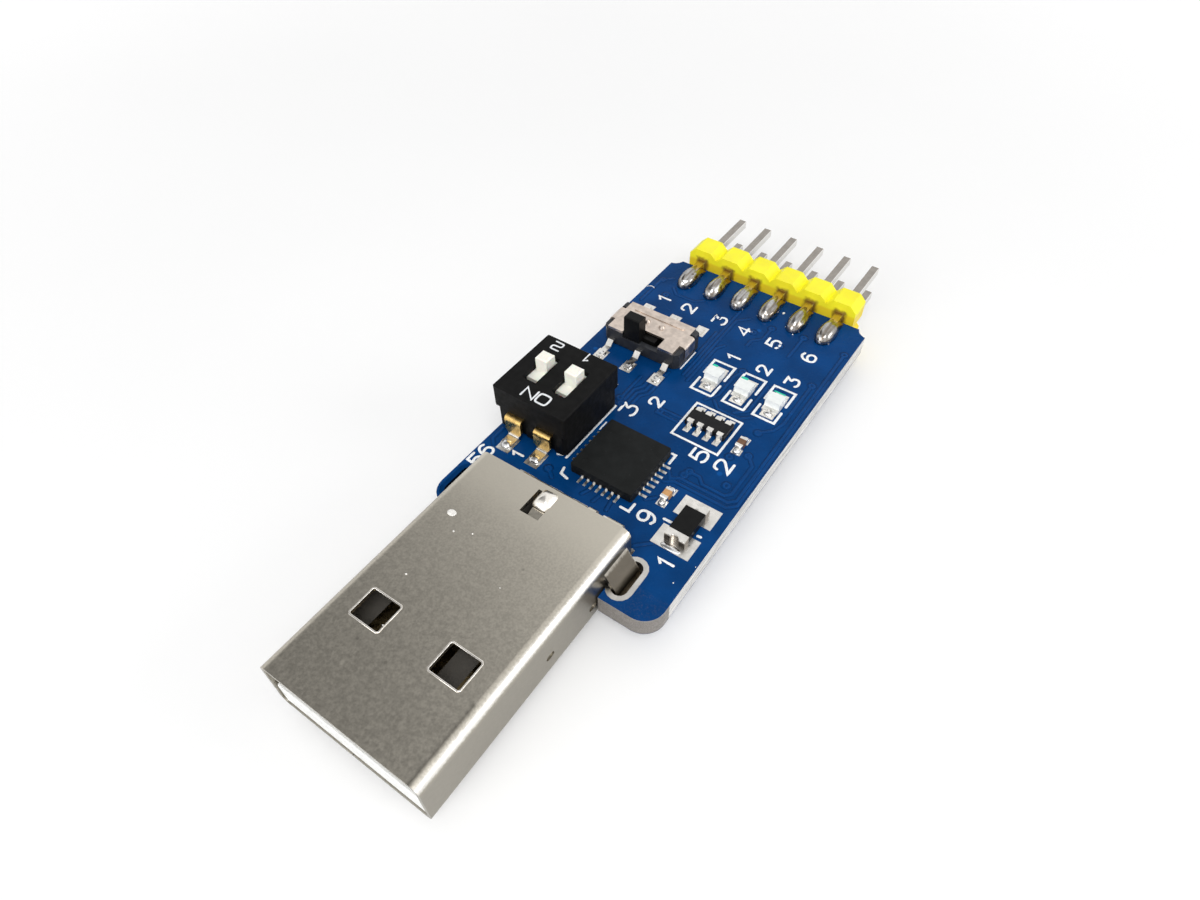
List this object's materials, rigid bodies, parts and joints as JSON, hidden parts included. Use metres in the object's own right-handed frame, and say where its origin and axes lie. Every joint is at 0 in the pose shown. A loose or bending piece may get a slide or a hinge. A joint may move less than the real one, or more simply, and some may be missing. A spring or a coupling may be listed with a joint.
{
  "type": "usb to serial adapter module",
  "caption": "Small blue circuit board with a type A plug sunk into its front edge, a right-angle pin header on its rear edge, a DIP switch, a slide switch and a bridge chip.",
  "frame": {"origin": "centre of the bounding box's base, below the middle of the board", "axes": "+Y runs from the plug's mouth to the pin tips, +Z out of the board's component face, +X to the right seen from above with the plug towards the viewer"},
  "size_m": [0.0182, 0.0544, 0.0081],
  "materials": {
    "board_blue": "glossy blue solder mask on a pale glass fibre core",
    "tin": "hot tinned copper, slightly uneven",
    "solder": "shiny solder",
    "nickel": "satin warm grey nickel plate",
    "white_plastic": "white moulding",
    "gold": "gold plate",
    "yellow_plastic": "bright yellow moulding",
    "pin_tin": "tinned pin",
    "switch_black": "fine grained black moulding",
    "knob_white": "white moulding",
    "cover_metal": "pale nickel sheet",
    "chip_black": "matte black epoxy",
    "lens": "milky lens",
    "array_black": "black glaze over ceramic",
    "brown_ceramic": "brown ceramic",
    "tan_ceramic": "tan ceramic",
    "fuse_black": "black coating"
  },
  "bodies": {
    "board_assembly": {"circuit_board": "board_blue", "slot_rings": "tin", "usb_shell": "nickel", "usb_insulator": "white_plastic", "usb_contacts": "gold", "leg_solder": "solder", "header_body": "yellow_plastic", "header_pins_upper": "pin_tin", "header_pins_lower": "pin_tin", "pin_joints_upper": "solder", "pin_joints_lower": "solder", "top_pads": "tin", "dip_base": "switch_black", "dip_cover": "switch_black", "dip_leads": "gold", "mode_base": "switch_black", "mode_cover": "cover_metal", "mode_terminals": "tin", "bridge_chip": "chip_black", "bridge_chip_leads": "tin", "lamp_lenses": "lens", "lamp_ends": "tin", "array_body": "array_black", "array_ends": "tin", "cap_brown": "brown_ceramic", "cap_tan": "tan_ceramic", "cap_ends": "tin", "fuse_body": "fuse_black", "fuse_ends": "tin", "driver_chip": "chip_black", "driver_chip_leads": "tin", "bus_chip": "chip_black", "bus_chip_leads": "tin", "pump_caps": "brown_ceramic", "pump_cap_ends": "tin", "under_pads": "tin"},
    "dip_actuator_1": {"dip_slider_1": "knob_white", "dip_wiper_1": "gold"},
    "dip_actuator_2": {"dip_slider_2": "knob_white", "dip_wiper_2": "gold"},
    "mode_actuator": {"mode_lever": "switch_black", "mode_wipers": "gold"}
  },
  "joints": [
    {"name": "dip_slide_1", "type": "slide", "parent": "board_assembly", "child": "dip_actuator_1", "axis": [0, -1, 0], "range_m": [0, 0.001]},
    {"name": "dip_slide_2", "type": "slide", "parent": "board_assembly", "child": "dip_actuator_2", "axis": [0, -1, 0], "range_m": [0, 0.001]},
    {"name": "mode_slide", "type": "slide", "parent": "board_assembly", "child": "mode_actuator", "axis": [1, 0, 0], "range_m": [0, 0.0016]}
  ]
}
